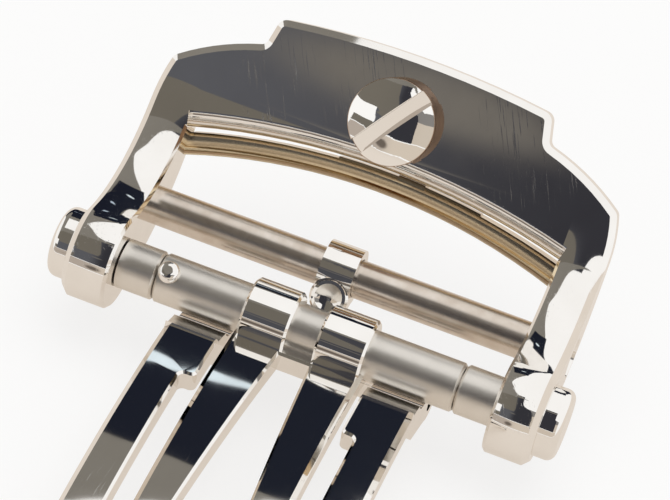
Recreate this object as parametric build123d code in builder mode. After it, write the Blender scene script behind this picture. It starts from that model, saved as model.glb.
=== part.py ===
from build123d import *
import os
from math import cos, sin, radians, sqrt, asin, degrees

os.makedirs("parts", exist_ok=True)

# Folding clasp of a watch strap, lying open on its blades. +Z is up, X runs along the hinge tube, and the
# blades reach towards -Y. The origin is on the table under the middle of the clasp.

# Where the hinge tube's axis is above the table, and how the two halves stand in the rest pose.
hinge_y = 6.992
hinge_z = 3.667
blade_angle = 5.43
frame_angle = 53.43

# Clearances of pieces that turn in each other or sit side by side on one axis, and of caps and heads in
# their wells.
turn_gap = 0.06
side_gap = 0.06
cap_gap = 0.04
ring_gap = 0.04
seat_gap = 0.03
button_stroke = 0.4

# Buckle frame: two side cheeks that end in the lugs, and the broad front plate. Its side profile is given as
# points along the frame (y) and out of its face (z), counted from the hinge axis.
cheek_inner = 9.3
cheek_thick = 2.2
cheek_outer = cheek_inner + cheek_thick
lug_r = 2.3
well_deep = 1.3
lug_floor = cheek_outer - well_deep
well_edge = 0.1
edge_bevel = 0.3
inner_bevel = 0.14
plate_face = -4.0
plate_thick = 1.6
plate_back = plate_face - plate_thick
back_angle = 241.4
hollow_r = 7
waist_r = 5.12

# Outline of the plate: its end, the steps down from there to the cheeks, and the arched window under it.
plate_end = 12.8
plate_crown = 0.48
step_drop = 1.38
plate_step_y = plate_end - step_drop
shoulder_mid_drop = 2.12
shoulder_mid_y = plate_end - shoulder_mid_drop
shoulder_drop = 3.3
shoulder_y = plate_end - shoulder_drop
taper_drop = 5.6
taper_y = plate_end - taper_drop
top_share = 0.59
step_share = 0.617
shoulder_mid_share = 0.796
shoulder_share = 0.968
top_corner_r = 0.5
step_corner_r = 0.4
shoulder_corner_r = 0.45
window_drop = 5.05
window_mid = plate_end - window_drop
window_arch_r = 36
rim_roll = 0.8
rim_clear = 1.4

# Arched latch bar behind the window's upper edge, with two catch ledges and a block.
bar_drop = 1.15
bar_mid = window_mid - bar_drop
bar_low_r = 30
bar_high_r = 34
bar_tall = 0.95
bar_set = 0.72
bar_front = plate_face - bar_set
bar_deep = 1.43
bar_back = bar_front - bar_deep
bar_bevel = 0.17
back_end_y = bar_mid
ledge_set = 0.18
ledge_front = bar_front - ledge_set
ledge_deep = 0.7
ledge_left_a = -2.15
ledge_left_b = 0.85
ledge_right_a = 2.2
ledge_right_b = 5.1
ledge_rise = 0.1
block_rise = 0.17
block_set = 0.08
groove_up = 0.3
groove_tall = 0.16
groove_deep = 0.12

# Large round-headed screw on the plate.
screw_drop = 2.7
screw_y = plate_end - screw_drop
screw_hole_r = 0.8
screw_r = 2.06
screw_wall = 1.35
screw_dome = 0.42
screw_slot_wide = 0.8
screw_slot_deep = 0.8
screw_slot_angle = 53
screw_short = 0.1

# Hinge tube between the two lugs, with its end collars and the small domed rivet.
tube_r = 1.18
tube_bore_r = 0.92
tube_edge = 0.1
collar_long = 1.8
collar_outer = cheek_inner - side_gap
collar_inner = collar_outer - collar_long
tube_half = collar_inner - side_gap
collar_well_r = 1.06
rivet_in = 0.53
rivet_x = tube_half - rivet_in
rivet_angle = 119
rivet_head_r = 0.53
rivet_shank_r = 0.32
rivet_clear = 0.03
rivet_inner = tube_bore_r + rivet_clear
rivet_height = 0.36
rivet_round = 0.33

# Push buttons: cap, plunger with its stop flange, and return spring at each end of the tube.
cap_r = 1.7
cap_proud = 1.0
cap_round = 0.42
cap_socket = 0.9
spring_room = 0.75
spring_end_gap = 0.13
spring_wire_r = 0.11
spring_turns = 1.5
spring_sides = 6
cap_inner = lug_floor + spring_room
cap_outer = cheek_outer + cap_proud
lug_well_r = cap_r + cap_gap
plunger_r = tube_bore_r - turn_gap
plunger_reach = 0.98
plunger_inner = tube_half - plunger_reach
plunger_nose = 0.2
flange_r = collar_well_r - turn_gap
flange_thick = 0.24
flange_set = 0.22
flange_b = collar_outer - flange_set
flange_a = flange_b - flange_thick
collar_well_floor = flange_a - button_stroke - side_gap
spring_r = (lug_well_r + tube_bore_r) / 2

# Strap bar across the cheeks, its two end screws, the hook on it and the strap peg.
strap_bar_y = 2.64
strap_bar_up = 0.83
strap_bar_z = plate_face + strap_bar_up
strap_bar_r = 0.92
seat_deep = 0.7
strap_bar_half = cheek_inner + seat_deep
end_well_deep = 0.78
end_screw_well = cheek_outer - end_well_deep
end_screw_set = 0.2
end_screw_face = cheek_outer - end_screw_set
end_screw_head_r = 0.94
end_screw_well_r = end_screw_head_r + seat_gap
end_screw_shank_r = 0.4
end_screw_past = 0.1
end_screw_tip = cheek_inner - end_screw_past
end_screw_slot = 0.3
end_screw_slot_deep = 0.25
hook_half = 0.84
hook_bore_r = strap_bar_r + ring_gap
hook_wall = 0.42
hook_r = hook_bore_r + hook_wall
tongue_rise = 0.22
tongue_top = strap_bar_z + tongue_rise
tongue_drop = 0.53
tongue_low = strap_bar_z - tongue_drop
peg_before = 1.14
peg_y = strap_bar_y - peg_before
peg_r = 0.93
peg_tall = 0.97
peg_top = tongue_top + peg_tall
peg_edge = 0.12
peg_dish_r = 1.6
peg_dish_deep = 0.14
peg_shank_r = 0.5

# Inner blade: two knuckles round the tube, two legs and the far barrel. The arc of both blades passes
# through both hinges, and the band lies a little under it.
blade_length = 25
band_short = 0.6
band_length = blade_length - band_short
arc_share = 2
blade_arc_r = blade_length * arc_share
blade_top = 0.3
blade_thick = 1.15
inner_half = 3.15
knuckle_inner = 0.7
knuckle_in = 0.15
knuckle_outer = inner_half - knuckle_in
knuckle_r = 1.62
knuckle_edge = 0.12
slot_start = 1.9
slot_half_start = 0.75
slot_short = 5.6
slot_end = blade_length - slot_short
slot_leg_wide = 1.1
slot_half_end = inner_half - slot_leg_wide
leg_bevel = 0.22
rim_bevel = 0.12
barrel_proud = 0.4
far_barrel_half = inner_half + barrel_proud
far_barrel_r = 1.3

# Far hinge pin.
pin_r = 0.58
pin_head_r = 0.86
pin_head_long = 0.5
pin_slot = 0.26
pin_slot_deep = 0.25
far_bore_r = pin_r + ring_gap

# Outer blade: two legs outside the inner ones, joined by the strap tube that passes under the hinge, and
# ears that reach from the legs' ends round the hinge tube to the strap tube.
blade_gap = 0.35
outer_wide_inner = inner_half + blade_gap
leg_gap = 1.05
outer_inner = inner_half + leg_gap
outer_leg_wide = 1.85
outer_half = outer_inner + outer_leg_wide
outer_top_y = 2.6
outer_notch = 5.25
notch_round = 0.3
outer_bevel = 0.25
far_knuckle_inner = far_barrel_half + side_gap
strap_tube_y = 0.96
strap_tube_z = -2.67
strap_tube_r = 1.1
strap_tube_bore_r = 0.6
tube_room = 0.32
tube_room_r = tube_r + tube_room
ear_lap = 0.42
ear_sink = 0.08
ear_rise = 0.1
ear_step = 0.15
ear_drop = 0.33
ear_heel_y = 0.57
ear_heel_z = 0.41
ear_front_share = 0.2
ear_high_share = 0.8
ear_back_share = 0.24
ear_low_share = 0.93


def side_plane(angle, x):
    """Plane across X; sketch x runs along the half, sketch y runs out of its face."""
    a = radians(angle)
    return Plane(origin=(x, hinge_y, hinge_z), x_dir=(0, cos(a), sin(a)), z_dir=(1, 0, 0))


def face_plane(angle, up):
    """Plane parallel to a half's face; sketch x is X, sketch y runs along the half."""
    a = radians(angle)
    origin = (0, hinge_y - up * sin(a), hinge_z + up * cos(a))
    return Plane(origin=origin, x_dir=(1, 0, 0), z_dir=(0, -sin(a), cos(a)))


def half_local(point, angle):
    """Coordinates of a point in the directions of a half that is turned by an angle."""
    a = radians(angle)
    dy = point.Y - hinge_y
    dz = point.Z - hinge_z
    return point.X, dy * cos(a) + dz * sin(a), -dy * sin(a) + dz * cos(a)


def meeting_point(start, inward, centre, r):
    """Place where the arc that leaves start, curving towards inward, runs smoothly into a circle."""
    away = start - centre
    radius = (away.dot(away) - r**2) / (2 * (r - away.dot(inward)))
    middle = start + inward * radius
    return middle + (centre - middle) * (radius / (radius + r))


def on_front(edge):
    """True on the frame's front edges, not on its back ones or on those that run through its thickness."""
    one = half_local(edge @ 0, frame_angle)
    two = half_local(edge @ 1, frame_angle)
    middle = half_local(edge @ 0.5, frame_angle)
    if abs(one[0] - two[0]) < small and abs(one[1] - two[1]) < small:
        return False
    if abs(one[2] - two[2]) > small and abs(one[1] - two[1]) < small:
        return False
    return middle[2] > plate_face - small


def on_outline(edge):
    """True where an edge lies on the frame's outer outline."""
    middle = half_local(edge @ 0.5, frame_angle)
    return middle[1] > shoulder_y - small or abs(middle[0]) > cheek_outer - small or (
        middle[1] > taper_y - small and abs(middle[0]) > shoulder_half - small)


def on_window(edge):
    """True where an edge lies on the cheeks' inner walls or on the window's arch."""
    middle = half_local(edge @ 0.5, frame_angle)
    arch = middle[1] + window_arch_r - window_mid
    on_arch = abs(sqrt(arch**2 + middle[0] ** 2) - window_arch_r) < small and abs(middle[0]) < cheek_inner
    return on_arch or abs(abs(middle[0]) - cheek_inner) < small


def band_height(y, down):
    """Height of a line along the blades, a given depth under the arc through both hinges."""
    return arc_centre_z + sqrt((blade_arc_r - down) ** 2 - (y - arc_centre_y) ** 2)


def on_band_top(edge):
    """True on edges of a band's upper face, except those at the ends of the two blades."""
    for share in (0, 0.5, 1):
        point = half_local(edge @ share, blade_angle)
        if abs(point[2] - band_height(point[1], blade_top)) > small:
            return False
    return -band_length + small < half_local(edge @ 0.5, blade_angle)[1] < -small


small = tube_r / 50
hinge_axis = Axis((0, hinge_y, hinge_z), (1, 0, 0))
arc_centre_y = -blade_length / 2
arc_centre_z = -sqrt(blade_arc_r**2 - arc_centre_y**2)
shoulder_half = cheek_outer * shoulder_share


# Hinge tube, turning in the lugs with the inner blade.
with BuildPart() as hinge_tube:
    with BuildSketch(side_plane(blade_angle, -tube_half)):
        Circle(tube_r)
        Circle(tube_bore_r, mode=Mode.SUBTRACT)
    extrude(amount=2 * tube_half)
    tube_rims = hinge_tube.edges().filter_by(GeomType.CIRCLE)
    chamfer(tube_rims.filter_by(lambda e: e.radius > tube_bore_r + small), tube_edge)
    with BuildSketch(Plane(side_plane(rivet_angle, -rivet_x).location * Location((0, 0, 0), (0, 90, 0)))):
        Circle(rivet_shank_r)
    extrude(amount=tube_r + small, mode=Mode.SUBTRACT)
hinge_tube.part.label = "hinge_tube"
export_step(hinge_tube.part, "parts/hinge_tube.step")

# Small domed rivet near the tube's left end.
with BuildPart() as tube_rivet:
    rivet_base = side_plane(rivet_angle, -rivet_x).location * Location((0, 0, 0), (0, 90, 0))
    with BuildSketch(Plane(rivet_base * Location((0, 0, rivet_inner)))):
        Circle(rivet_shank_r)
    extrude(amount=tube_r - rivet_inner)
    with BuildSketch(Plane(rivet_base * Location((0, 0, tube_r)))):
        Circle(rivet_head_r)
    extrude(amount=rivet_height)
    rivet_rims = tube_rivet.edges().filter_by(GeomType.CIRCLE)
    fillet(rivet_rims.sort_by(lambda e: half_local(e.center(), blade_angle)[2])[-1], rivet_round)
tube_rivet.part.label = "tube_rivet"
export_step(tube_rivet.part, "parts/tube_rivet.step")

# End collars between the tube and each lug.
with BuildPart() as collar_left:
    with BuildSketch(side_plane(blade_angle, -collar_outer)):
        Circle(tube_r)
        Circle(tube_bore_r, mode=Mode.SUBTRACT)
    extrude(amount=collar_long)
    with BuildSketch(side_plane(blade_angle, -collar_outer)):
        Circle(collar_well_r)
    extrude(amount=collar_outer - collar_well_floor, mode=Mode.SUBTRACT)
    left_rims = collar_left.edges().filter_by(GeomType.CIRCLE)
    chamfer(left_rims.filter_by(lambda e: e.radius > tube_r - small).sort_by(Axis.X)[-1], tube_edge)
collar_left.part.label = "collar_left"
export_step(collar_left.part, "parts/collar_left.step")

with BuildPart() as collar_right:
    with BuildSketch(side_plane(blade_angle, collar_inner)):
        Circle(tube_r)
        Circle(tube_bore_r, mode=Mode.SUBTRACT)
    extrude(amount=collar_long)
    with BuildSketch(side_plane(blade_angle, collar_well_floor)):
        Circle(collar_well_r)
    extrude(amount=collar_outer - collar_well_floor, mode=Mode.SUBTRACT)
    right_rims = collar_right.edges().filter_by(GeomType.CIRCLE)
    chamfer(right_rims.filter_by(lambda e: e.radius > tube_r - small).sort_by(Axis.X)[0], tube_edge)
collar_right.part.label = "collar_right"
export_step(collar_right.part, "parts/collar_right.step")

# Buckle frame: the side profile, run across the whole width, is cut to the outline seen square to the plate.
with BuildPart() as buckle_frame:
    hollow_z = plate_face + hollow_r
    hollow_y = sqrt((lug_r + hollow_r) ** 2 - hollow_z**2)
    front_start = Vector(hollow_y, hollow_z) * (lug_r / (lug_r + hollow_r))
    front_end = Vector(hollow_y, plate_face)
    back_out = Vector(cos(radians(back_angle)), sin(radians(back_angle)))
    back_start = back_out * lug_r
    back_end = Vector(back_end_y, plate_back)
    back_turn = meeting_point(back_end, Vector(0, 1), back_start + back_out * waist_r, waist_r)
    beyond = plate_end + 2 * lug_r
    with BuildSketch(side_plane(frame_angle, -cheek_outer)):
        with BuildLine():
            TangentArc(front_start, front_end, tangent=(hollow_z, -hollow_y))
            Polyline(front_end, (beyond, plate_face), (beyond, plate_back), back_end)
            belly = TangentArc(back_end, back_turn, tangent=(-1, 0))
            TangentArc(back_turn, back_start, tangent=belly % 1)
            ThreePointArc(back_start, (-lug_r, 0), front_start)
        make_face()
    extrude(amount=2 * cheek_outer)
    with BuildSketch(face_plane(frame_angle, 2 * plate_back)):
        arch_y = window_mid - window_arch_r + sqrt(window_arch_r**2 - cheek_inner**2)
        top_half = cheek_outer * top_share
        step_half = cheek_outer * step_share
        mid_half = cheek_outer * shoulder_mid_share
        with BuildLine():
            Polyline((-cheek_inner, arch_y), (-cheek_inner, -2 * lug_r), (-cheek_outer, -2 * lug_r),
                     (-cheek_outer, taper_y))
            TangentArc((-cheek_outer, taper_y), (-shoulder_half, shoulder_y), tangent=(0, 1))
            ThreePointArc((-shoulder_half, shoulder_y), (-mid_half, shoulder_mid_y),
                          (-step_half, plate_step_y))
            Line((-step_half, plate_step_y), (-top_half, plate_end))
            ThreePointArc((-top_half, plate_end), (0, plate_end + plate_crown), (top_half, plate_end))
            Line((top_half, plate_end), (step_half, plate_step_y))
            ThreePointArc((step_half, plate_step_y), (mid_half, shoulder_mid_y),
                          (shoulder_half, shoulder_y))
            TangentArc((cheek_outer, taper_y), (shoulder_half, shoulder_y), tangent=(0, 1))
            Polyline((cheek_outer, taper_y), (cheek_outer, -2 * lug_r), (cheek_inner, -2 * lug_r),
                     (cheek_inner, arch_y))
            ThreePointArc((cheek_inner, arch_y), (0, window_mid), (-cheek_inner, arch_y))
        make_face()
        fillet(vertices().filter_by(lambda v: v.Y > plate_end - small), top_corner_r)
        fillet(vertices().filter_by(lambda v: abs(v.Y - plate_step_y) < small), step_corner_r)
        fillet(vertices().filter_by(lambda v: abs(v.Y - shoulder_y) < small), shoulder_corner_r)
    extrude(amount=4 * abs(plate_back), mode=Mode.INTERSECT)
    outer_edges = buckle_frame.edges().filter_by(lambda e: on_front(e) and on_outline(e))
    chamfer(outer_edges, edge_bevel)
    inner_edges = buckle_frame.edges().filter_by(lambda e: on_front(e) and on_window(e))
    chamfer(inner_edges, inner_bevel)
    rim_angle = degrees(asin(cheek_inner / window_arch_r))
    a = radians(frame_angle)
    arch_axis_y = window_mid - window_arch_r
    arch_centre = (0, hinge_y + arch_axis_y * cos(a), hinge_z + arch_axis_y * sin(a))
    for side in (-1, 1):
        with BuildSketch(side_plane(frame_angle, 0)):
            with BuildLine():
                RadiusArc((window_mid, plate_face - rim_roll), (window_mid + rim_roll, plate_face), rim_roll)
                Polyline((window_mid + rim_roll, plate_face), (window_mid + rim_roll, plate_face + rim_clear),
                         (window_mid - rim_roll, plate_face + rim_clear),
                         (window_mid - rim_roll, plate_face - rim_roll), (window_mid, plate_face - rim_roll))
            make_face()
        revolve(axis=Axis(arch_centre, (0, -side * sin(a), side * cos(a))), revolution_arc=rim_angle,
                mode=Mode.SUBTRACT)
    for side in (-1, 1):
        with BuildSketch(side_plane(frame_angle, side * cheek_inner)):
            Circle(tube_bore_r)
        extrude(amount=side * cheek_thick, mode=Mode.SUBTRACT)
        with BuildSketch(side_plane(frame_angle, side * lug_floor)):
            Circle(lug_well_r)
        extrude(amount=side * well_deep, mode=Mode.SUBTRACT)
        with BuildSketch(side_plane(frame_angle, side * cheek_inner)):
            with Locations((strap_bar_y, strap_bar_z)):
                Circle(strap_bar_r)
        extrude(amount=side * (strap_bar_half - cheek_inner), mode=Mode.SUBTRACT)
        with BuildSketch(side_plane(frame_angle, side * strap_bar_half)):
            with Locations((strap_bar_y, strap_bar_z)):
                Circle(end_screw_shank_r)
        extrude(amount=side * (cheek_outer - strap_bar_half), mode=Mode.SUBTRACT)
        with BuildSketch(side_plane(frame_angle, side * end_screw_well)):
            with Locations((strap_bar_y, strap_bar_z)):
                Circle(end_screw_well_r)
        extrude(amount=side * (cheek_outer - end_screw_well), mode=Mode.SUBTRACT)
    mouths = buckle_frame.edges().filter_by(GeomType.CIRCLE).filter_by(
        lambda e: abs(e.radius - lug_well_r) < small and abs(abs(e.center().X) - cheek_outer) < small)
    chamfer(mouths, well_edge)
    with BuildSketch(face_plane(frame_angle, plate_back)):
        with Locations((0, screw_y)):
            Circle(screw_hole_r)
    extrude(amount=plate_thick, mode=Mode.SUBTRACT)
buckle_frame.part.label = "buckle_frame"
export_step(buckle_frame.part, "parts/buckle_frame.step")

# Arched latch bar between the cheeks, with two catch ledges and the block between them on its upper side.
with BuildPart() as latch_bar:
    low_drop = bar_low_r - sqrt(bar_low_r**2 - cheek_inner**2)
    high_drop = bar_high_r - sqrt(bar_high_r**2 - cheek_inner**2)
    bar_top = bar_mid + bar_tall
    with BuildSketch(face_plane(frame_angle, bar_back)):
        with BuildLine():
            ThreePointArc((-cheek_inner, bar_mid - low_drop), (0, bar_mid), (cheek_inner, bar_mid - low_drop))
            Line((cheek_inner, bar_mid - low_drop), (cheek_inner, bar_top - high_drop))
            ThreePointArc((cheek_inner, bar_top - high_drop), (0, bar_top),
                          (-cheek_inner, bar_top - high_drop))
            Line((-cheek_inner, bar_top - high_drop), (-cheek_inner, bar_mid - low_drop))
        make_face()
    extrude(amount=bar_deep)
    front_edges = latch_bar.edges().filter_by(
        lambda e: abs(half_local(e @ 0.5, frame_angle)[2] - bar_front) < small and e.length > cheek_inner)
    chamfer(front_edges, bar_bevel)
    for low_x, high_x, rise, low_z, high_z in (
        (ledge_left_a, ledge_left_b, ledge_rise, ledge_front - ledge_deep, ledge_front),
        (ledge_right_a, ledge_right_b, ledge_rise, ledge_front - ledge_deep, ledge_front),
        (ledge_left_b, ledge_right_a, block_rise, bar_back, bar_front - block_set),
    ):
        with BuildSketch(face_plane(frame_angle, low_z)):
            with BuildLine():
                for_x = [low_x, (low_x + high_x) / 2, high_x]
                tops = [bar_top + rise - bar_high_r + sqrt(bar_high_r**2 - x**2) for x in for_x]
                foots = [top - rise - bar_tall / 2 for top in tops]
                ThreePointArc((for_x[0], tops[0]), (for_x[1], tops[1]), (for_x[2], tops[2]))
                Polyline((for_x[2], tops[2]), (for_x[2], foots[2]), (for_x[0], foots[0]), (for_x[0], tops[0]))
            make_face()
        extrude(amount=high_z - low_z)
    groove_r = bar_high_r - bar_tall + groove_up
    groove_mid = bar_mid + groove_up
    groove_drop = groove_r - sqrt(groove_r**2 - cheek_inner**2)
    with BuildSketch(face_plane(frame_angle, bar_front - groove_deep)):
        with Locations((0, groove_mid - groove_r)):
            Circle(groove_r + groove_tall / 2)
            Circle(groove_r - groove_tall / 2, mode=Mode.SUBTRACT)
        with Locations((0, groove_mid)):
            Rectangle(2 * cheek_inner, 4 * bar_tall + groove_drop, mode=Mode.INTERSECT)
    extrude(amount=2 * groove_deep, mode=Mode.SUBTRACT)
latch_bar.part.label = "latch_bar"
export_step(latch_bar.part, "parts/latch_bar.step")

# Large slotted screw that stands on the plate.
with BuildPart() as cover_screw:
    with BuildSketch(face_plane(frame_angle, plate_face)):
        with Locations((0, screw_y)):
            Circle(screw_r)
    extrude(amount=screw_wall)
    dome_ball_r = (screw_r**2 + screw_dome**2) / (2 * screw_dome)
    rim_z = plate_face + screw_wall
    crown_z = rim_z + screw_dome
    with BuildSketch(side_plane(frame_angle, 0)):
        with BuildLine():
            Line((screw_y, rim_z), (screw_y + screw_r, rim_z))
            RadiusArc((screw_y + screw_r, rim_z), (screw_y, crown_z), -dome_ball_r)
            Line((screw_y, crown_z), (screw_y, rim_z))
        make_face()
    a = radians(frame_angle)
    revolve(axis=Axis((0, hinge_y + screw_y * cos(a), hinge_z + screw_y * sin(a)), (0, -sin(a), cos(a))))
    with BuildSketch(face_plane(frame_angle, crown_z - screw_slot_deep)):
        with Locations((0, screw_y)):
            Rectangle(3 * screw_r, screw_slot_wide, rotation=screw_slot_angle)
    extrude(amount=2 * screw_slot_deep, mode=Mode.SUBTRACT)
    with BuildSketch(face_plane(frame_angle, plate_back + screw_short)):
        with Locations((0, screw_y)):
            Circle(screw_hole_r)
    extrude(amount=plate_thick - screw_short)
cover_screw.part.label = "cover_screw"
export_step(cover_screw.part, "parts/cover_screw.step")

# Strap bar, held in blind seats in both cheeks.
with BuildPart() as strap_bar:
    with BuildSketch(side_plane(frame_angle, -strap_bar_half)):
        with Locations((strap_bar_y, strap_bar_z)):
            Circle(strap_bar_r)
    extrude(amount=2 * strap_bar_half)
    for side in (-1, 1):
        with BuildSketch(side_plane(frame_angle, side * strap_bar_half)):
            with Locations((strap_bar_y, strap_bar_z)):
                Circle(end_screw_shank_r)
        extrude(amount=-side * (strap_bar_half - end_screw_tip), mode=Mode.SUBTRACT)
strap_bar.part.label = "strap_bar"
export_step(strap_bar.part, "parts/strap_bar.step")

# Slotted screws that hold the strap bar from outside.
with BuildPart() as bar_screw_left:
    with BuildSketch(side_plane(frame_angle, -end_screw_face)):
        with Locations((strap_bar_y, strap_bar_z)):
            Circle(end_screw_head_r)
    extrude(amount=end_screw_face - end_screw_well)
    with BuildSketch(side_plane(frame_angle, -end_screw_well)):
        with Locations((strap_bar_y, strap_bar_z)):
            Circle(end_screw_shank_r)
    extrude(amount=end_screw_well - end_screw_tip)
    with BuildSketch(side_plane(frame_angle, -end_screw_face)):
        with Locations((strap_bar_y, strap_bar_z)):
            Rectangle(3 * end_screw_head_r, end_screw_slot)
    extrude(amount=end_screw_slot_deep, mode=Mode.SUBTRACT)
bar_screw_left.part.label = "bar_screw_left"
export_step(bar_screw_left.part, "parts/bar_screw_left.step")

with BuildPart() as bar_screw_right:
    with BuildSketch(side_plane(frame_angle, end_screw_face)):
        with Locations((strap_bar_y, strap_bar_z)):
            Circle(end_screw_head_r)
    extrude(amount=-(end_screw_face - end_screw_well))
    with BuildSketch(side_plane(frame_angle, end_screw_well)):
        with Locations((strap_bar_y, strap_bar_z)):
            Circle(end_screw_shank_r)
    extrude(amount=-(end_screw_well - end_screw_tip))
    with BuildSketch(side_plane(frame_angle, end_screw_face)):
        with Locations((strap_bar_y, strap_bar_z)):
            Rectangle(3 * end_screw_head_r, end_screw_slot)
    extrude(amount=-end_screw_slot_deep, mode=Mode.SUBTRACT)
bar_screw_right.part.label = "bar_screw_right"
export_step(bar_screw_right.part, "parts/bar_screw_right.step")

# Hook: a ring round the strap bar with a tongue that carries the peg.
with BuildPart() as strap_hook:
    with BuildSketch(side_plane(frame_angle, -hook_half)):
        with Locations((strap_bar_y, strap_bar_z)):
            Circle(hook_r)
        with BuildLine():
            Polyline((strap_bar_y, tongue_low), (strap_bar_y, tongue_top), (peg_y - hook_half, tongue_top),
                     (peg_y - hook_half, tongue_low), (strap_bar_y, tongue_low))
        make_face()
    extrude(amount=2 * hook_half)
    with BuildSketch(face_plane(frame_angle, tongue_low)):
        with Locations((0, peg_y)):
            Circle(hook_half)
        with Locations((0, peg_y + 2 * hook_half)):
            Rectangle(2 * hook_half, 4 * hook_half)
    extrude(amount=2 * hook_r, both=True, mode=Mode.INTERSECT)
    with BuildSketch(side_plane(frame_angle, -hook_half)):
        with Locations((strap_bar_y, strap_bar_z)):
            Circle(hook_bore_r)
    extrude(amount=2 * hook_half, mode=Mode.SUBTRACT)
    with BuildSketch(face_plane(frame_angle, tongue_top)):
        with Locations((0, peg_y)):
            Circle(peg_r)
    extrude(amount=hook_r, mode=Mode.SUBTRACT)
    with BuildSketch(face_plane(frame_angle, tongue_low)):
        with Locations((0, peg_y)):
            Circle(peg_shank_r)
    extrude(amount=tongue_top - tongue_low, mode=Mode.SUBTRACT)
strap_hook.part.label = "strap_hook"
export_step(strap_hook.part, "parts/strap_hook.step")

# Round peg for the strap's hole, with a dished top.
with BuildPart() as strap_peg:
    with BuildSketch(face_plane(frame_angle, tongue_top)):
        with Locations((0, peg_y)):
            Circle(peg_r)
    extrude(amount=peg_top - tongue_top)
    with BuildSketch(face_plane(frame_angle, tongue_low)):
        with Locations((0, peg_y)):
            Circle(peg_shank_r)
    extrude(amount=tongue_top - tongue_low)
    peg_rims = strap_peg.edges().filter_by(GeomType.CIRCLE)
    chamfer(peg_rims.sort_by(lambda e: half_local(e.center(), frame_angle)[2])[-1], peg_edge)
    a = radians(frame_angle)
    dish_up = peg_top - peg_dish_deep + peg_dish_r
    dish_at = (0, hinge_y + peg_y * cos(a) - dish_up * sin(a), hinge_z + peg_y * sin(a) + dish_up * cos(a))
    with Locations(dish_at):
        Sphere(peg_dish_r, mode=Mode.SUBTRACT)
    with BuildSketch(side_plane(frame_angle, -2 * hook_half)):
        with Locations((strap_bar_y, strap_bar_z)):
            Circle(hook_bore_r)
    extrude(amount=4 * hook_half, mode=Mode.SUBTRACT)
strap_peg.part.label = "strap_peg"
export_step(strap_peg.part, "parts/strap_peg.step")

# Push-button caps, sunk in the wells of the lugs.
with BuildPart() as cap_left:
    with BuildSketch(side_plane(frame_angle, -cap_outer)):
        Circle(cap_r)
    extrude(amount=cap_outer - cap_inner)
    fillet(cap_left.edges().filter_by(GeomType.CIRCLE).sort_by(Axis.X)[0], cap_round)
    with BuildSketch(side_plane(frame_angle, -cap_inner)):
        Circle(plunger_r)
    extrude(amount=-cap_socket, mode=Mode.SUBTRACT)
cap_left.part.label = "cap_left"
export_step(cap_left.part, "parts/cap_left.step")

with BuildPart() as cap_right:
    with BuildSketch(side_plane(frame_angle, cap_inner)):
        Circle(cap_r)
    extrude(amount=cap_outer - cap_inner)
    fillet(cap_right.edges().filter_by(GeomType.CIRCLE).sort_by(Axis.X)[-1], cap_round)
    with BuildSketch(side_plane(frame_angle, cap_inner)):
        Circle(plunger_r)
    extrude(amount=cap_socket, mode=Mode.SUBTRACT)
cap_right.part.label = "cap_right"
export_step(cap_right.part, "parts/cap_right.step")

# Plungers: the hinge's bearing pins, each with a stop flange inside its collar.
with BuildPart() as plunger_left:
    with BuildSketch(side_plane(frame_angle, -cap_inner - cap_socket)):
        Circle(plunger_r)
    extrude(amount=cap_inner + cap_socket - plunger_inner)
    chamfer(plunger_left.edges().filter_by(GeomType.CIRCLE).sort_by(Axis.X)[-1], plunger_nose)
    with BuildSketch(side_plane(frame_angle, -flange_b)):
        Circle(flange_r)
    extrude(amount=flange_thick)
plunger_left.part.label = "plunger_left"
export_step(plunger_left.part, "parts/plunger_left.step")

with BuildPart() as plunger_right:
    with BuildSketch(side_plane(frame_angle, plunger_inner)):
        Circle(plunger_r)
    extrude(amount=cap_inner + cap_socket - plunger_inner)
    chamfer(plunger_right.edges().filter_by(GeomType.CIRCLE).sort_by(Axis.X)[0], plunger_nose)
    with BuildSketch(side_plane(frame_angle, flange_a)):
        Circle(flange_r)
    extrude(amount=flange_thick)
plunger_right.part.label = "plunger_right"
export_step(plunger_right.part, "parts/plunger_right.step")

# Return springs round the plungers, between each cap and the floor of its well.
spring_long = spring_room - 2 * spring_end_gap
spring_start = lug_floor + spring_end_gap
with BuildPart() as spring_left:
    with BuildLine():
        coil = Helix(pitch=spring_long / spring_turns, height=spring_long, radius=spring_r,
                     center=(-spring_start - spring_long, hinge_y, hinge_z), direction=(1, 0, 0))
    with BuildSketch(Plane(origin=coil @ 0, z_dir=coil % 0)):
        RegularPolygon(spring_wire_r, spring_sides)
    sweep(path=coil)
spring_left.part.label = "spring_left"
export_step(spring_left.part, "parts/spring_left.step")

with BuildPart() as spring_right:
    with BuildLine():
        coil = Helix(pitch=spring_long / spring_turns, height=spring_long, radius=spring_r,
                     center=(spring_start, hinge_y, hinge_z), direction=(1, 0, 0))
    with BuildSketch(Plane(origin=coil @ 0, z_dir=coil % 0)):
        RegularPolygon(spring_wire_r, spring_sides)
    sweep(path=coil)
spring_right.part.label = "spring_right"
export_step(spring_right.part, "parts/spring_right.step")

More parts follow.
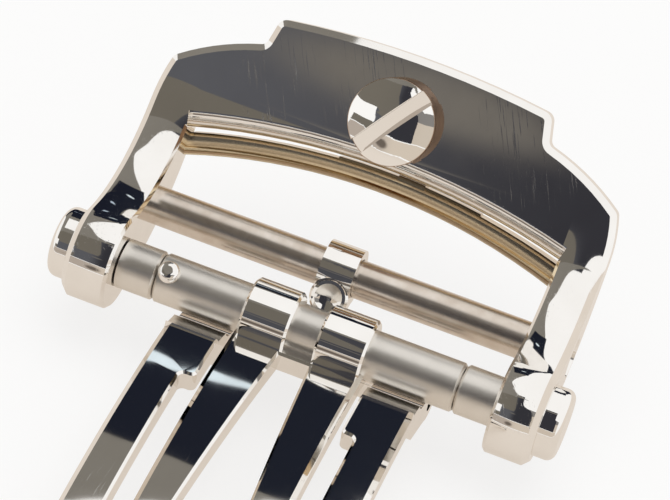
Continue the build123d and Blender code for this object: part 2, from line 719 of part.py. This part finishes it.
# Inner blade: arched band cut to two bevelled legs, the two knuckles and the far barrel.
with BuildPart() as inner_blade:
    with BuildSketch(side_plane(blade_angle, -inner_half)):
        with Locations((arc_centre_y, arc_centre_z)):
            Circle(blade_arc_r - blade_top)
            Circle(blade_arc_r - blade_top - blade_thick, mode=Mode.SUBTRACT)
    extrude(amount=2 * inner_half)
    with BuildSketch(face_plane(blade_angle, -knuckle_r * 2)):
        with Locations((0, -band_length / 2)):
            Rectangle(2 * inner_half, band_length)
        with BuildLine():
            Polyline((-slot_half_start, -slot_start), (slot_half_start, -slot_start),
                     (slot_half_end, -slot_end), (-slot_half_end, -slot_end),
                     (-slot_half_start, -slot_start))
        make_face(mode=Mode.SUBTRACT)
    extrude(amount=blade_length, mode=Mode.INTERSECT)
    chamfer(inner_blade.edges().filter_by(on_band_top).filter_by(
        lambda e: abs((e @ 0.5).X) > inner_half - small), leg_bevel)
    chamfer(inner_blade.edges().filter_by(on_band_top).filter_by(
        lambda e: abs((e @ 0.5).X) < slot_half_end + small), rim_bevel)
    for side in (-1, 1):
        with BuildSketch(Plane(origin=(0, hinge_y, hinge_z), x_dir=(1, 0, 0), z_dir=(0, -1, 0))):
            with BuildLine():
                Polyline((side * knuckle_inner, 0), (side * knuckle_outer, 0),
                         (side * knuckle_outer, knuckle_r - knuckle_edge),
                         (side * (knuckle_outer - knuckle_edge), knuckle_r),
                         (side * (knuckle_inner + knuckle_edge), knuckle_r),
                         (side * knuckle_inner, knuckle_r - knuckle_edge), (side * knuckle_inner, 0))
            make_face()
        revolve(axis=hinge_axis)
    with BuildSketch(side_plane(blade_angle, -far_barrel_half)):
        with Locations((-blade_length, 0)):
            Circle(far_barrel_r)
    extrude(amount=2 * far_barrel_half)
    with BuildSketch(side_plane(blade_angle, -far_barrel_half)):
        with Locations((-blade_length, 0)):
            Circle(far_bore_r)
        Circle(tube_r)
    extrude(amount=2 * far_barrel_half, mode=Mode.SUBTRACT)
inner_blade.part.label = "inner_blade"
export_step(inner_blade.part, "parts/inner_blade.step")

# Outer blade: legs outside the inner ones, the strap tube under the hinge and the two far knuckles.
with BuildPart() as outer_blade:
    with BuildSketch(side_plane(blade_angle, -outer_half)):
        with Locations((arc_centre_y, arc_centre_z)):
            Circle(blade_arc_r - blade_top)
            Circle(blade_arc_r - blade_top - blade_thick, mode=Mode.SUBTRACT)
    extrude(amount=2 * outer_half)
    with BuildSketch(face_plane(blade_angle, -knuckle_r * 2)):
        with Locations((0, -outer_top_y - (band_length - outer_top_y) / 2)):
            Rectangle(2 * outer_half, band_length - outer_top_y)
        with Locations((0, -outer_top_y)):
            Rectangle(2 * outer_wide_inner, 2 * (outer_notch - outer_top_y), mode=Mode.SUBTRACT)
        with Locations((0, -outer_notch - (blade_length - outer_notch) / 2)):
            Rectangle(2 * outer_inner, blade_length - outer_notch, mode=Mode.SUBTRACT)
        fillet(vertices().filter_by(lambda v: abs(v.Y + outer_notch) < small), notch_round)
    extrude(amount=blade_length, mode=Mode.INTERSECT)
    chamfer(outer_blade.edges().filter_by(on_band_top).filter_by(
        lambda e: abs((e @ 0.5).X) > outer_half - small), outer_bevel)
    chamfer(outer_blade.edges().filter_by(on_band_top).filter_by(
        lambda e: abs((e @ 0.5).X) < outer_inner + small), rim_bevel)
    ear_y = -outer_top_y - ear_lap
    ridge_z = band_height(-outer_top_y, blade_top) + ear_rise
    for side in (-1, 1):
        with BuildSketch(side_plane(blade_angle, side * outer_wide_inner)):
            with BuildLine():
                Polyline((ear_y, band_height(ear_y, blade_top + blade_thick) + ear_sink),
                         (-outer_top_y, ridge_z), (-outer_top_y + ear_step, ridge_z - ear_drop),
                         (strap_tube_y + ear_front_share * strap_tube_r,
                          strap_tube_z + ear_high_share * strap_tube_r),
                         (strap_tube_y - ear_back_share * strap_tube_r,
                          strap_tube_z - ear_low_share * strap_tube_r),
                         (-outer_top_y + ear_heel_y, strap_tube_z + ear_heel_z),
                         (ear_y, band_height(ear_y, blade_top + blade_thick) + ear_sink))
            make_face()
        extrude(amount=side * (outer_half - outer_wide_inner))
        with BuildSketch(side_plane(blade_angle, side * far_knuckle_inner)):
            with Locations((-blade_length, 0)):
                Circle(far_barrel_r)
        extrude(amount=side * (outer_half - far_knuckle_inner))
        with BuildSketch(side_plane(blade_angle, side * outer_wide_inner)):
            Circle(tube_room_r)
        extrude(amount=side * (outer_half - outer_wide_inner), mode=Mode.SUBTRACT)
    with BuildSketch(side_plane(blade_angle, -outer_half)):
        with Locations((strap_tube_y, strap_tube_z)):
            Circle(strap_tube_r)
    extrude(amount=2 * outer_half)
    with BuildSketch(side_plane(blade_angle, -outer_half)):
        with Locations((strap_tube_y, strap_tube_z)):
            Circle(strap_tube_bore_r)
        with Locations((-blade_length, 0)):
            Circle(pin_r)
    extrude(amount=2 * outer_half, mode=Mode.SUBTRACT)
    with BuildSketch(side_plane(blade_angle, outer_half)):
        with Locations((-blade_length, 0)):
            Circle(pin_head_r)
    extrude(amount=-pin_head_long, mode=Mode.SUBTRACT)
outer_blade.part.label = "outer_blade"
export_step(outer_blade.part, "parts/outer_blade.step")

# Far hinge pin with a slotted head.
with BuildPart() as far_pin:
    with BuildSketch(side_plane(blade_angle, -outer_half)):
        with Locations((-blade_length, 0)):
            Circle(pin_r)
    extrude(amount=2 * outer_half - pin_head_long)
    with BuildSketch(side_plane(blade_angle, outer_half)):
        with Locations((-blade_length, 0)):
            Circle(pin_head_r)
    extrude(amount=-pin_head_long)
    with BuildSketch(side_plane(blade_angle, outer_half)):
        with Locations((-blade_length, 0)):
            Rectangle(3 * pin_head_r, pin_slot)
    extrude(amount=-pin_slot_deep, mode=Mode.SUBTRACT)
far_pin.part.label = "far_pin"
export_step(far_pin.part, "parts/far_pin.step")
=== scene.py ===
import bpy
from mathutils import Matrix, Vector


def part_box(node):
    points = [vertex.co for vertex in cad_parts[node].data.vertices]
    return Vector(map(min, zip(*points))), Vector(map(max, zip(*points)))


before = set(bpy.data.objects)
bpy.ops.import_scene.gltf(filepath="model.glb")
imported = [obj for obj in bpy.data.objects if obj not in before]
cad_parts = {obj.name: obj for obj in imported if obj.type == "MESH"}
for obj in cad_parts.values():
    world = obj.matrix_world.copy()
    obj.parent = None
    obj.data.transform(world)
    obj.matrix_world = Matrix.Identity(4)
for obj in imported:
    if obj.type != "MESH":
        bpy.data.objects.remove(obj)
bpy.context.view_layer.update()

from math import cos, radians, sin

import bpy
from mathutils import Euler, Matrix, Vector


# Buckle frame. It is milled from one bar of stainless steel, with two cheeks that end in round lugs. It is
# polished by hand on a soft wheel, which leaves the cheeks slightly crowned. Wear has scratched the plate.
frame_tilt = radians(53.43)
plate_z = -0.0040
plate_band = 0.00005
cheek_middle = 0.0104
cheek_half = 0.0011
cheek_crown = 0.00008
right_crown_more = 1.1
crown_from = 0.0050
crown_to = 0.0088
steel_bright = (0.95, 0.93, 0.90)
steel_dull = (0.87, 0.84, 0.80)
steel_patch = 0.0015
smudge_detail = 3.0
line_detail = 2.0
hairline_soft = 0.1
scratch_turn = radians(-25)
scratch_wide = 0.00007
scratch_long = 0.0022
scratch_deep = 0.0000003
scratch_least = 0.60
wear_patch = 0.005
wear_from = 0.40
wear_to = 0.62
plate_rough = 0.02
plate_rough_smudged = 0.05
plate_rough_scratched = 0.22
plate_rough_patch = 0.0012


class Grain:
    """A socket in a finish's node tree. Sums on it add Math nodes, and node() adds any other node."""

    def __init__(self, tree, socket=None):
        self.tree = tree
        self.socket = socket

    def node(self, kind, settings, values, out=0):
        made = self.tree.nodes.new(kind)
        for name, setting in settings.items():
            setattr(made, name, setting)
        for name, value in values.items():
            if isinstance(value, Grain):
                self.tree.links.new(value.socket, made.inputs[name])
            else:
                made.inputs[name].default_value = value
        return None if out is None else Grain(self.tree, made.outputs[out])

    def finish(self, kind, values, output="ShaderNodeOutputMaterial"):
        """Ends the tree in a shader of that kind."""
        self.node(output, {}, {"Surface": self.node(kind, {}, values)}, out=None)

    def maths(self, operation, one, two):
        return self.node("ShaderNodeMath", {"operation": operation}, {0: one, 1: two})

    def __add__(self, other):
        return self.maths("ADD", self, other)

    def __radd__(self, other):
        return self.maths("ADD", other, self)

    def __sub__(self, other):
        return self.maths("SUBTRACT", self, other)

    def __rsub__(self, other):
        return self.maths("SUBTRACT", other, self)

    def __mul__(self, other):
        return self.maths("MULTIPLY", self, other)

    def __rmul__(self, other):
        return self.maths("MULTIPLY", other, self)


def blank_finish(name):
    """A new material with an empty node tree, and the socket class standing on that tree."""
    material = bpy.data.materials.new(name)
    material.use_nodes = True
    material.node_tree.nodes.clear()
    return material, Grain(material.node_tree)


def metal(name, colour, roughness, height):
    """Bare metal. Colour, roughness and height each take the tree, and height is in metres."""
    material, tree = blank_finish(name)
    bump = tree.node("ShaderNodeBump", {}, {"Height": height(tree), "Strength": 1.0, "Distance": 1.0})
    tree.finish("ShaderNodeBsdfPrincipled", {
        "Base Color": colour(tree), "Metallic": 1.0, "Roughness": roughness(tree), "Normal": bump})
    return material


def local_place(tree, tilt, turn=0.0):
    """Place from the hinge axis: x along the hinge, y along a half that is tilted so, z out of its face."""
    low, high = (Vector(corner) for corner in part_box("hinge_tube"))
    turning = Euler((-tilt, 0, turn))
    shift = -(turning.to_matrix() @ ((low + high) / 2))
    place = tree.node("ShaderNodeTexCoord", {}, {}, out="Object")
    return tree.node("ShaderNodeMapping", {"vector_type": "POINT"}, {
        "Vector": place, "Location": shift, "Rotation": turning})


def part_of(tree, vector, axis):
    return tree.node("ShaderNodeSeparateXYZ", {}, {"Vector": vector}, out=axis)


def stretched_noise(tree, place, sizes, detail):
    """Noise from 0 to 1 with patches of the given sizes in metres along x, y and z."""
    scaled = tree.node("ShaderNodeVectorMath", {"operation": "MULTIPLY"}, {
        0: place, 1: tuple(1 / size for size in sizes)})
    return tree.node("ShaderNodeTexNoise", {}, {"Vector": scaled, "Scale": 1.0, "Detail": detail})


def step_between(tree, value, low, high):
    """0 below low, 1 above high, smooth between."""
    return tree.node("ShaderNodeMapRange", {"interpolation_type": "SMOOTHSTEP"}, {
        "Value": value, "From Min": low, "From Max": high, "To Min": 0.0, "To Max": 1.0})


def two_tones(tree, share, one, two):
    """A colour between two, by a share from 0 to 1. Each of the two is a colour or a socket."""
    one, two = (tone if isinstance(tone, Grain) else (*tone, 1) for tone in (one, two))
    return tree.node("ShaderNodeMix", {"data_type": "RGBA"}, {0: share, 6: one, 7: two}, out=2)


def smudges(tree, size):
    return stretched_noise(tree, local_place(tree, frame_tilt), (size, size, size), smudge_detail)


def patchy(size, one, two):
    """A colour for metal() that changes between two in patches of that size."""
    return lambda tree: two_tones(tree, smudges(tree, size), one, two)


def hairlines(tree, tilt, turn, long, least):
    """Fine straight scratches, 0 to 1, running along a half after a turn about its face's normal."""
    place = local_place(tree, tilt, turn)
    raw = stretched_noise(tree, place, (scratch_wide, long, scratch_wide), line_detail)
    return step_between(tree, raw, least, least + hairline_soft)


def plate_scratches(tree):
    wear = step_between(tree, smudges(tree, wear_patch), wear_from, wear_to)
    height = part_of(tree, local_place(tree, frame_tilt), "Z")
    flat = step_between(tree, height, plate_z - plate_band, plate_z)
    return hairlines(tree, frame_tilt, scratch_turn, scratch_long, scratch_least) * wear * flat


def plate_roughness(tree):
    smudged = plate_rough_smudged * smudges(tree, plate_rough_patch)
    return plate_rough + smudged + plate_rough_scratched * plate_scratches(tree)


def crowned_cheeks(tree):
    """Scratches on the plate, and a crown on the cheeks that is in the shading alone. It is higher on the
    right cheek, to put the mirror images of both where the photograph has them."""
    place = local_place(tree, frame_tilt)
    across = (tree.maths("ABSOLUTE", part_of(tree, place, "X"), 0.0) - cheek_middle) * (1 / cheek_half)
    right = step_between(tree, part_of(tree, place, "X"), -cheek_half, cheek_half)
    crown = tree.maths("MAXIMUM", 1 - across * across, 0.0) * (1 + right * right_crown_more)
    fade = 1 - step_between(tree, part_of(tree, place, "Y"), crown_from, crown_to)
    return crown * fade * cheek_crown - plate_scratches(tree) * (1 - fade) * scratch_deep


def dress(names, material):
    """Gives CAD nodes their finish, in their one material slot."""
    for name in names:
        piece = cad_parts[name]
        piece.data.materials.clear()
        piece.data.materials.append(material)


steel_tone = patchy(steel_patch, steel_bright, steel_dull)
polished_frame = metal("polished frame", steel_tone, plate_roughness, crowned_cheeks)
dress(["buckle_frame"], polished_frame)


# Latch bar. It is bent from drawn bar, and it has been polished only lightly, so the drawing lines still run
# along its arch. Its golden colour, lighter and darker in bands along the arch, is a painted warm reflection
# of the shaded hollow round it. Two catch ledges and a block are machined on it.
bar_low_y = 0.0066
bar_low_radius = 0.030
bar_middle_radius = 0.03036
bar_lean = 0.30
bar_rounding = 320
# Painted warm reflection: the bar's golden colours, light and dark.
painted_gold_light = (0.86, 0.72, 0.50)
painted_gold_dark = (0.40, 0.27, 0.145)
painted_dark_band_from = 0.44
painted_dark_band_to = 0.60
draw_line_fine = 0.00005
draw_line_broad = 0.00022
draw_line_deep = 0.0000005
bar_rough = 0.10
bar_rough_lines = 0.16
in_the_face = (1, 1, 0)


def distance_from(tree, place, middle, scale):
    """How far a place is from a middle, after each axis is scaled."""
    away = tree.node("ShaderNodeVectorMath", {"operation": "SUBTRACT"}, {0: place, 1: middle})
    scaled = tree.node("ShaderNodeVectorMath", {"operation": "MULTIPLY"}, {0: away, 1: scale})
    return tree.node("ShaderNodeVectorMath", {"operation": "LENGTH"}, {0: scaled}, out="Value")


def arch_radius(tree):
    middle = (0, bar_low_y - bar_low_radius, 0)
    return distance_from(tree, local_place(tree, frame_tilt), middle, in_the_face)


def draw_lines(tree, size):
    """Noise that changes only out from the arch's centre and in depth, so its lines follow the arch."""
    depth = part_of(tree, local_place(tree, frame_tilt), "Z")
    section = tree.node("ShaderNodeCombineXYZ", {}, {
        "X": arch_radius(tree) * (1 / size), "Y": depth * (1 / size)})
    return tree.node("ShaderNodeTexNoise", {"noise_dimensions": "2D"}, {
        "Vector": section, "Scale": 1.0, "Detail": line_detail})


# Painted reflection: golden colour in light and dark bands along the arch.
def painted_gold_reflection(tree):
    share = step_between(tree, draw_lines(tree, draw_line_broad), painted_dark_band_from, painted_dark_band_to)
    return two_tones(tree, share, painted_gold_light, painted_gold_dark)


def drawn_roughness(tree):
    return bar_rough + bar_rough_lines * draw_lines(tree, draw_line_fine)


def drawn_height(tree):
    """The drawing lines, on a face shaded as leaning and slightly rounded, to place what it mirrors."""
    across = arch_radius(tree) - bar_middle_radius
    lines = draw_lines(tree, draw_line_broad) * draw_line_deep
    return across * bar_lean - across * across * bar_rounding + lines


dress(["latch_bar"], metal("drawn bar with painted golden reflection", painted_gold_reflection, drawn_roughness, drawn_height))


# Cover screw. Its broad steel head is turned on a lathe, so the dome keeps faint rings round its axis, and
# the slot is cut across it with a saw. The head is then polished with the frame.
screw_middle = (0, 0.0101, 0)
turning_pitch = 0.00009
turning_deep = 0.0000002
head_side_radius = 0.00205
head_side_band = 0.00004
# Painted warm brown reflection on the side of the head.
painted_side_reflection = (0.42, 0.27, 0.17)
slot_floor_z = -0.0030
slot_floor_band = 0.0001
slot_lean = 0.30
dome_rough = 0.015
dome_rough_turned = 0.05
dome_rough_patch = 0.0008
side_rough = 0.33


def head_radius(tree):
    return distance_from(tree, local_place(tree, frame_tilt), screw_middle, in_the_face)


def turned_dome(tree):
    return tree.node("ShaderNodeTexNoise", {"noise_dimensions": "1D"}, {
        "W": head_radius(tree) * (1 / turning_pitch), "Scale": 1.0, "Detail": line_detail})


def head_side(tree):
    """1 on the side of the head, which gets a painted warm brown reflection and is rougher, and 0 on its
    dome.
    """
    return step_between(tree, head_radius(tree), head_side_radius - head_side_band, head_side_radius)


# The dome in the steel's tone, with a painted brown reflection on the side.
def head_tone_with_painted_side(tree):
    return two_tones(tree, head_side(tree), steel_bright, painted_side_reflection)


def dome_roughness(tree):
    turned = dome_rough_turned * turned_dome(tree) * smudges(tree, dome_rough_patch)
    return dome_rough + turned + side_rough * head_side(tree)


def dome_height(tree):
    """The lathe's rings, and the floor of the slot, which is shaded as leaning, to place what it mirrors."""
    place = local_place(tree, frame_tilt)
    above_floor = step_between(tree, part_of(tree, place, "Z"), slot_floor_z, slot_floor_z + slot_floor_band)
    floor_lean = part_of(tree, place, "Y") * (1 - above_floor) * slot_lean
    return turned_dome(tree) * turning_deep + floor_lean


dress(["cover_screw"], metal("turned screw head", head_tone_with_painted_side, dome_roughness, dome_height))


# Strap bar and its two end screws. The steel bar is ground between centres to a satin finish, with fine
# rings round it, and the strap has rubbed it. The screws go in from outside, polished flush with the cheeks.
satin_bright = (0.84, 0.78, 0.71)
satin_dull = (0.60, 0.50, 0.41)
satin_patch = 0.0009
ring_pitch = 0.00007
ring_deep = 0.00000004
ring_detail = 3.0
satin_rough = 0.20
satin_rough_rings = 0.04
satin_rough_rubbed = 0.06
polish_rough = 0.02
polish_rough_smudged = 0.05
polish_rough_patch = 0.0007
wave_patch = 0.0011
wave_deep = 0.0000035


def ground_rings(tree, pitch):
    """1-D noise along the hinge's direction: rings round every bar and tube that lies that way."""
    along = part_of(tree, local_place(tree, frame_tilt), "X")
    return tree.node("ShaderNodeTexNoise", {"noise_dimensions": "1D"}, {
        "W": along * (1 / pitch), "Scale": 1.0, "Detail": ring_detail})


def satin_roughness(tree):
    rings = satin_rough_rings * ground_rings(tree, ring_pitch)
    return satin_rough + rings + satin_rough_rubbed * smudges(tree, satin_patch)


def satin_height(tree):
    return ground_rings(tree, ring_pitch) * ring_deep


def polish_roughness(tree):
    return polish_rough + polish_rough_smudged * smudges(tree, polish_rough_patch)


def polish_height(tree):
    """Faint waviness that a polishing wheel leaves on small parts."""
    return smudges(tree, wave_patch) * wave_deep


satin_tone = patchy(satin_patch, satin_bright, satin_dull)
satin = metal("ground satin bar", satin_tone, satin_roughness, satin_height)
polish = metal("hand polish", steel_tone, polish_roughness, polish_height)
dress(["strap_bar"], satin)
dress(["bar_screw_left", "bar_screw_right"], polish)


# Strap hook and peg. The hook is a polished steel ring round the strap bar with a short tongue, and the peg
# is riveted through the tongue. Its top is dished, so it lights up as a ring.
dress(["strap_hook", "strap_peg"], polish)


# Hinge tube with its two collars and the small rivet. The tube and collars are turned from steel and left
# satin, a little brighter than the strap bar, and the rivet's domed head is polished.
tube_bright = (0.86, 0.82, 0.76)
tube_dull = (0.74, 0.70, 0.64)
tube_patch = 0.0010
tube_rough = 0.30
tube_rough_rings = 0.08
tube_pitch = 1.4 * ring_pitch


def tube_roughness(tree):
    return tube_rough + tube_rough_rings * ground_rings(tree, tube_pitch)


tube_tone = patchy(tube_patch, tube_bright, tube_dull)
turned_tube = metal("turned satin tube", tube_tone, tube_roughness, satin_height)
dress(["hinge_tube", "collar_left", "collar_right"], turned_tube)
dress(["tube_rivet"], polish)


# Push buttons. Each has a polished steel cap sunk in its lug, a ground plunger that is also the frame's
# bearing pin, and a return spring coiled from drawn wire between the cap and the floor of the well.
wire_bright = (0.62, 0.61, 0.60)
wire_dull = (0.45, 0.44, 0.42)
wire_patch = 0.0003

drawn_wire = metal("drawn wire", patchy(wire_patch, wire_bright, wire_dull), satin_roughness, satin_height)
dress(["cap_left", "cap_right"], polish)
dress(["plunger_left", "plunger_right"], satin)
dress(["spring_left", "spring_right"], drawn_wire)


# Inner and outer blade. Both are blanked from steel strip, bent to the wrist's curve, bevelled and polished
# to a mirror. The strip's length shows in hairlines along the legs, and in a very slight waviness.
blade_tilt = radians(5.43)
blade_flattening = 3.75
blade_waves = (0.003, 0.006, 0.003)
blade_wave_detail = 1.0
blade_wave_deep = 0.000006
blade_scratch_turn = radians(4)
blade_scratch_long = 0.005
blade_scratch_deep = 0.0000002
blade_scratch_least = 0.66
blade_wear_patch = 0.004
blade_wear_from = 0.48
blade_wear_to = 0.68
blade_rough = 0.015
blade_rough_smudged = 0.04
blade_rough_scratched = 0.05
blade_rough_patch = 0.0015


def blade_scratches(tree):
    lines = hairlines(tree, blade_tilt, blade_scratch_turn, blade_scratch_long, blade_scratch_least)
    return lines * step_between(tree, smudges(tree, blade_wear_patch), blade_wear_from, blade_wear_to)


def blade_roughness(tree):
    smudged = blade_rough_smudged * smudges(tree, blade_rough_patch)
    return blade_rough + smudged + blade_rough_scratched * blade_scratches(tree)


def blade_height(tree):
    """Waves and hairlines, on faces shaded flatter than the CAD's bend, to place what they mirror."""
    place = local_place(tree, blade_tilt)
    along = part_of(tree, place, "Y")
    waves = stretched_noise(tree, place, blade_waves, blade_wave_detail) * blade_wave_deep
    return along * along * blade_flattening + waves - blade_scratches(tree) * blade_scratch_deep


blade_polish = metal("mirror blade", steel_tone, blade_roughness, blade_height)
dress(["inner_blade", "outer_blade"], blade_polish)


# Far hinge pin. It is a ground steel pin that joins the two blades at their far ends. Its slotted head sits
# flush in the side of the outer blade.
dress(["far_pin"], satin)


# Studio for a small bright object: a white table, one large soft lamp above it, and cards whose reflections
# draw the shapes, some dark, some olive or grey, some warm and some light. The cards are seen only in the
# metal, and the lamp isn't seen in it. A card's tones are its colours at the left and at the right.
card_distance = 0.400
card_layer = 0.002
card_steps = 6
side = 0.45
wide_spread = (-0.3, 0.3)
spot_core = 0.45
spot_rim = 1.2
lens_tones = ((0.105, 0.108, 0.122), (0.036, 0.036, 0.044))
lens_spread = (-0.110, -0.022)
lens_spot = (-0.061, 35.1, 0.034, 0.0070, (0.175, 0.162, 0.145))
olive_tones = ((0.17, 0.155, 0.13), (0.13, 0.12, 0.105))
right_warm_tones = ((0.50, 0.42, 0.34), (0.62, 0.55, 0.47))
right_grey_tones = ((0.16, 0.15, 0.15), (0.25, 0.24, 0.23))
left_grey_tones = ((0.24, 0.225, 0.20), (0.15, 0.143, 0.125))
dark_tones = ((0.008, 0.010, 0.020), (0.022, 0.026, 0.036))
strip_tones = 2 * ((0.80, 0.92, 1.0),)
small_spot_tones = 2 * ((0.55, 0.66, 0.80),)
front_tones = ((0.46, 0.40, 0.35), (0.66, 0.58, 0.49))
front_spread = (-0.12, 0.02)
front_spot = (-0.070, 9.0, 0.045, 0.035, (0.15, 0.125, 0.105))
lamp_wide = 0.5
lamp_long = 0.34
lamp_watts = 0.6
lamp_angle = 105
lamp_distance = 0.45
table_reach = 1.5
table_paper = (0.92, 0.91, 0.89)
table_mirrored = (0.76, 0.67, 0.58)
table_white_share = 0.75
room_light = 0.75
plain_white = (1, 1, 1)


def stage_mesh(name, points, faces, material):
    mesh = bpy.data.meshes.new(name)
    mesh.from_pydata(points, [], faces)
    piece = bpy.data.objects.new(name, mesh)
    piece.data.materials.append(material)
    bpy.context.scene.collection.objects.link(piece)
    return piece


def eased(values, place):
    """A smooth curve through values that stand one step apart."""
    i = min(int(place), len(values) - 2)
    share = place - i
    before, here, there, after = (values[min(max(i + j, 0), len(values) - 1)] for j in (-1, 0, 1, 2))
    bend = 2 * before - 5 * here + 4 * there - after + share * (3 * (here - there) + after - before)
    return here + share * (there - before + share * bend) / 2


def place_round(distance, x, angle):
    """A place at that distance from the x axis, by its angle in degrees from the front over the top."""
    return Vector((x, -distance * cos(radians(angle)), distance * sin(radians(angle))))


def card(name, layer, rows, tones, spread=wide_spread, spot=None):
    """A card bent round the object, given as rows of angle, left edge and right edge. The higher its layer,
    the nearer it is to the object. Its tone changes from left to right over the spread. A spot is given as
    x, angle, half its width, half its height and its colour, and its edge is soft."""
    distance = card_distance - layer * card_layer
    material, tree = blank_finish(name)
    place = tree.node("ShaderNodeTexCoord", {}, {}, out="Object")
    colour = two_tones(tree, step_between(tree, part_of(tree, place, "X"), *spread), *tones)
    if spot:
        x, angle, wide, high, spot_colour = spot
        away = distance_from(tree, place, place_round(distance, x, angle), (1 / wide, 1 / high, 1 / high))
        colour = two_tones(tree, step_between(tree, away, spot_core, spot_rim), spot_colour, colour)
    tree.finish("ShaderNodeEmission", {"Color": colour, "Strength": 1.0})
    points = []
    for i in range(card_steps * (len(rows) - 1) + 1):
        angle, left, right = (eased(column, i / card_steps) for column in zip(*rows))
        points += [place_round(distance, left, angle), place_round(distance, right, angle)]
    faces = [(2 * i, 2 * i + 1, 2 * i + 3, 2 * i + 2) for i in range(len(points) // 2 - 1)]
    piece = stage_mesh(name, points, faces, material)
    piece.visible_camera = False
    piece.visible_diffuse = False
    piece.visible_shadow = False
    piece.visible_transmission = False


card("card round the lens", 0, [
    (19, -0.20, 0.14), (50, -0.20, 0.13), (60, -0.14, 0.02), (79, -0.14, 0.0)],
    lens_tones, lens_spread, lens_spot)
card("olive card on the left", 1, [
    (40, -0.20, -0.058), (45, -0.20, -0.05), (50, -side, -0.05), (76, -side, -0.07)], olive_tones)
card("card below it", 1, [(19, -side, -0.19), (28, -side, -0.19)], olive_tones)
card("warm card on the right", -1, [(19, 0.12, side), (44, 0.12, side)], right_warm_tones)
card("grey card on the right", -1, [(44, 0.12, side), (56, 0.06, side)], right_grey_tones)
card("grey card on the left", 4, [
    (74, -side, 0.05), (78, -side, -0.04), (82, -side, -0.09), (88, -side, -0.115), (94, -side, -0.13),
    (100, -side, -0.150), (106, -side, -0.161), (112, -side, -0.147), (118, -side, -0.127),
    (124, -side, -0.10), (129, -side, -0.075), (133, -side, -0.058), (137, -side, -0.050),
    (162, -side, -0.13)], left_grey_tones)
card("dark card behind", 6, [
    (133.5, -0.15, -0.045), (143, -0.15, -0.030), (150, -0.15, -0.015), (156, -0.18, 0.01),
    (160, -0.35, 0.04), (164, -side, 0.06), (179, -side, 0.15)], dark_tones)
card("light strip behind", 8, [
    (142.5, -0.095, -0.080), (143.1, -0.095, -0.072), (143.8, -0.086, -0.063), (144.2, -0.080, -0.067)],
    strip_tones)
card("light spot behind", 8, [(158, -0.124, -0.112), (160, -0.120, -0.104)], small_spot_tones)
card("warm card in front", 0, [(2, -side, side), (18, -side, side)], front_tones, front_spread, front_spot)

lamp_data = bpy.data.lights.new("soft lamp", "AREA")
lamp_data.shape = "RECTANGLE"
lamp_data.size = lamp_wide
lamp_data.size_y = lamp_long
lamp_data.energy = lamp_watts
lamp = bpy.data.objects.new("soft lamp", lamp_data)
lamp.visible_glossy = False
lamp.location = place_round(lamp_distance, 0, lamp_angle)
lamp.rotation_euler = Vector(-lamp.location).to_track_quat("-Z", "Y").to_euler()
bpy.context.scene.collection.objects.link(lamp)


def ray_kind(tree, kind):
    """1 on rays of that kind, and 0 on the rest."""
    return tree.node("ShaderNodeLightPath", {}, {}, out=kind)


def white_for_the_eye(tree):
    """1 on rays from the camera, mirrors and glass, which see the white background, and 0 on the rest."""
    camera, glossy, glass = (
        ray_kind(tree, kind) for kind in ("Is Camera Ray", "Is Glossy Ray", "Is Transmission Ray"))
    return tree.maths("MAXIMUM", tree.maths("MAXIMUM", camera, glossy), glass)


table_finish, tree = blank_finish("white table")
paper = tree.node("ShaderNodeBsdfDiffuse", {}, {"Color": (*table_paper, 1)})
table_tone = two_tones(tree, ray_kind(tree, "Is Glossy Ray"), plain_white, table_mirrored)
white = tree.node("ShaderNodeEmission", {}, {"Color": table_tone, "Strength": 1.0})
tree.finish("ShaderNodeMixShader", {0: white_for_the_eye(tree) * table_white_share, 1: paper, 2: white})
corners = [(x * table_reach, y * table_reach, 0) for x, y in ((-1, -1), (1, -1), (1, 1), (-1, 1))]
stage_mesh("table", corners, [(0, 1, 2, 3)], table_finish)

world = bpy.data.worlds.new("room")
bpy.context.scene.world = world
world.use_nodes = True
world.node_tree.nodes.clear()
tree = Grain(world.node_tree)
room_strength = room_light + (1 - room_light) * white_for_the_eye(tree)
tree.finish("ShaderNodeBackground", {"Color": (*plain_white, 1), "Strength": room_strength},
            output="ShaderNodeOutputWorld")
bpy.context.scene.view_settings.view_transform = "Standard"


# Camera with a long lens. It stands above and in front of the clasp, to its right, and is rolled a little.
# Its place and aim were fitted to the photograph.
lens_place = Vector((0.0218, -0.08767, 0.10070))
lens_aim = Vector((-0.16012, 0.70948, -0.68630))
lens_roll = radians(11.394)
lens_length = 161.194
sensor_wide = 36

camera_data = bpy.data.cameras.new("camera")
camera_data.sensor_width = sensor_wide
camera_data.lens = lens_length
camera = bpy.data.objects.new("camera", camera_data)
turned = lens_aim.to_track_quat("-Z", "Y").to_matrix() @ Matrix.Rotation(lens_roll, 3, "Z")
camera.matrix_world = Matrix.Translation(lens_place) @ turned.to_4x4()
bpy.context.scene.collection.objects.link(camera)
bpy.context.scene.camera = camera
